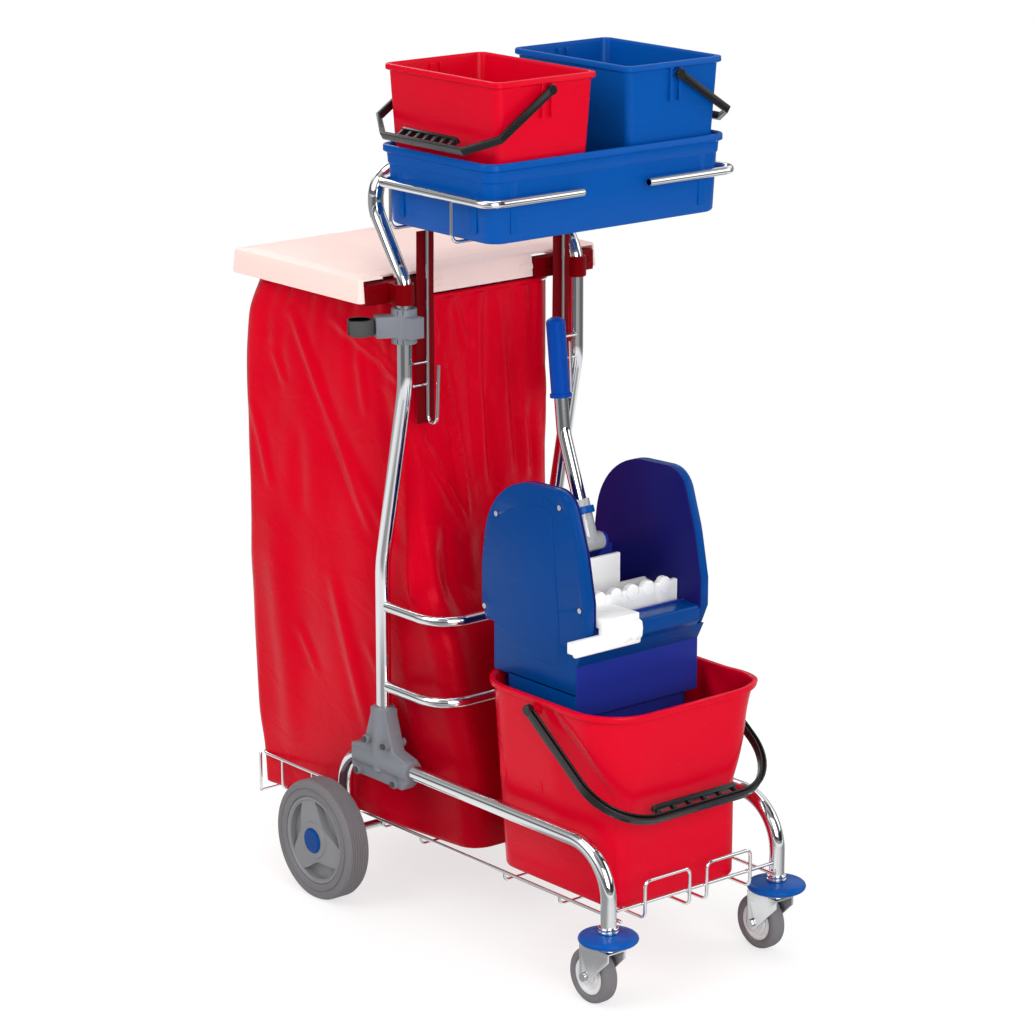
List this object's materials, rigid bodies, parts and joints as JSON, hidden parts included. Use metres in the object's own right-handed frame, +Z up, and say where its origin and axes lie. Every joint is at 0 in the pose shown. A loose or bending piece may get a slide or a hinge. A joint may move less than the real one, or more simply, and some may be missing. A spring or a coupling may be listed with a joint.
{
  "type": "janitor cart",
  "caption": "Wheeled tube cart for cleaning rounds, with a lidded waste bag, a mop bucket under a lever wringer, and a raised tray of pails.",
  "frame": {"origin": "centre of the bounding box, on the floor under the wheels", "axes": "+X to the front, where the bucket is; +Y to the left; +Z up"},
  "size_m": [0.8454, 0.4658, 1.2498],
  "materials": {
    "chrome": "polished",
    "steel": "satin",
    "grey_plastic": "satin",
    "wheel_grey": "satin",
    "tyre_grey": "matte",
    "caster_rim": "satin",
    "blue_plastic": "gloss",
    "red_plastic": "gloss",
    "bag_fabric": "coated",
    "pale_plastic": "satin",
    "black_plastic": "satin",
    "white_plastic": "satin",
    "black_rubber": "matte"
  },
  "bodies": {
    "frame": {"side_rail_left": "chrome", "side_rail_right": "chrome", "connector_outer_left": "grey_plastic", "connector_outer_right": "grey_plastic", "connector_inner_left": "grey_plastic", "connector_inner_right": "grey_plastic", "tray_rail_left": "chrome", "tray_rail_right": "chrome", "bumper_left": "blue_plastic", "bumper_right": "blue_plastic", "lid_bracket_left": "red_plastic", "lid_bracket_right": "red_plastic", "handle_frame": "chrome", "connector_screws": "steel", "cross_bar_upper": "chrome", "cross_bar_lower": "chrome", "tray_wires": "chrome", "tray_hooks": "chrome", "bucket_rack": "chrome", "bag_rack": "chrome", "rear_axle": "steel", "axle_spacers": "grey_plastic", "caster_stems": "steel", "bag": "bag_fabric", "bag_ring": "chrome", "bag_straps": "bag_fabric", "mop_clamp": "grey_plastic", "mop_clip": "black_rubber"},
    "lid": {"lid": "pale_plastic"},
    "tray": {"tray": "blue_plastic"},
    "pail_left": {"pail_left": "blue_plastic"},
    "pail_right": {"pail_right": "red_plastic"},
    "pail_bail_left": {"pail_bail_left": "black_plastic"},
    "pail_bail_right": {"pail_bail_right": "black_plastic"},
    "bucket": {"mop_bucket": "red_plastic"},
    "bucket_bail": {"bucket_bail": "black_plastic"},
    "wringer": {"wringer_cheek_left": "blue_plastic", "wringer_cheek_right": "blue_plastic", "wringer_body": "blue_plastic", "wringer_rivets": "steel", "press_plate_front": "white_plastic"},
    "lever": {"lever_shaft": "grey_plastic", "drive_gear": "grey_plastic", "lever_tube": "chrome", "lever_grip": "blue_plastic"},
    "press": {"press_plate_rear": "white_plastic"},
    "rear_wheel_left": {"rear_tyre_left": "tyre_grey", "rear_wheel_left": "wheel_grey", "hub_cap_left": "blue_plastic"},
    "rear_wheel_right": {"rear_tyre_right": "tyre_grey", "rear_wheel_right": "wheel_grey", "hub_cap_right": "blue_plastic"},
    "caster_left": {"caster_fork_left": "chrome", "caster_axle_left": "steel"},
    "caster_right": {"caster_fork_right": "chrome", "caster_axle_right": "steel"},
    "caster_wheel_left": {"caster_wheel_left": "caster_rim", "caster_tyre_left": "tyre_grey"},
    "caster_wheel_right": {"caster_wheel_right": "caster_rim", "caster_tyre_right": "tyre_grey"}
  },
  "joints": [
    {"name": "lid_hinge", "type": "hinge", "parent": "frame", "child": "lid", "pos_m": [-0.08725, 0, 0.9256], "axis": [0, 1, 0], "range_deg": [0, 52]},
    {"name": "tray_lift", "type": "slide", "parent": "frame", "child": "tray", "axis": [0, 0, 1], "range_m": [0, 0.1]},
    {"name": "pail_left_lift", "type": "slide", "parent": "tray", "child": "pail_left", "axis": [0, 0, 1], "range_m": [0, 0.12]},
    {"name": "pail_right_lift", "type": "slide", "parent": "tray", "child": "pail_right", "axis": [0, 0, 1], "range_m": [0, 0.12]},
    {"name": "pail_bail_left_swing", "type": "hinge", "parent": "pail_left", "child": "pail_bail_left", "pos_m": [0.07775, 0.114, 1.2338], "axis": [1, 0, 0], "range_deg": [0, 125]},
    {"name": "pail_bail_right_swing", "type": "hinge", "parent": "pail_right", "child": "pail_bail_right", "pos_m": [0.07775, -0.114, 1.2338], "axis": [-1, 0, 0], "range_deg": [0, 125]},
    {"name": "bucket_lift", "type": "slide", "parent": "frame", "child": "bucket", "axis": [0, 0, 1], "range_m": [0, 0.055]},
    {"name": "bucket_bail_swing", "type": "hinge", "parent": "bucket", "child": "bucket_bail", "pos_m": [0.21375, 0, 0.385], "axis": [0, -1, 0], "range_deg": [0, 85]},
    {"name": "wringer_lift", "type": "slide", "parent": "bucket", "child": "wringer", "axis": [0, 0, 1], "range_m": [0, 0.05]},
    {"name": "lever_pull", "type": "hinge", "parent": "wringer", "child": "lever", "pos_m": [0.15575, 0, 0.583], "axis": [0, 1, 0], "range_deg": [0, 70]},
    {"name": "press_slide", "type": "slide", "parent": "wringer", "child": "press", "axis": [1, 0, 0], "range_m": [0, 0.0455]},
    {"name": "rear_wheel_left_spin", "type": "hinge", "parent": "frame", "child": "rear_wheel_left", "pos_m": [-0.20725, 0.2, 0.09], "axis": [0, 1, 0], "continuous": true},
    {"name": "rear_wheel_right_spin", "type": "hinge", "parent": "frame", "child": "rear_wheel_right", "pos_m": [-0.20725, -0.2, 0.09], "axis": [0, 1, 0], "continuous": true},
    {"name": "caster_left_swivel", "type": "hinge", "parent": "frame", "child": "caster_left", "pos_m": [0.38075, 0.157, 0.09], "axis": [0, 0, 1], "continuous": true},
    {"name": "caster_right_swivel", "type": "hinge", "parent": "frame", "child": "caster_right", "pos_m": [0.38075, -0.157, 0.09], "axis": [0, 0, 1], "continuous": true},
    {"name": "caster_wheel_left_spin", "type": "hinge", "parent": "caster_left", "child": "caster_wheel_left", "pos_m": [0.35075, 0.157, 0.04], "axis": [0, 1, 0], "continuous": true},
    {"name": "caster_wheel_right_spin", "type": "hinge", "parent": "caster_right", "child": "caster_wheel_right", "pos_m": [0.35075, -0.157, 0.04], "axis": [0, 1, 0], "continuous": true}
  ],
  "couplings": [
    {"joint": "press_slide", "follows": "lever_pull", "m_per_rad": 0.037}
  ]
}
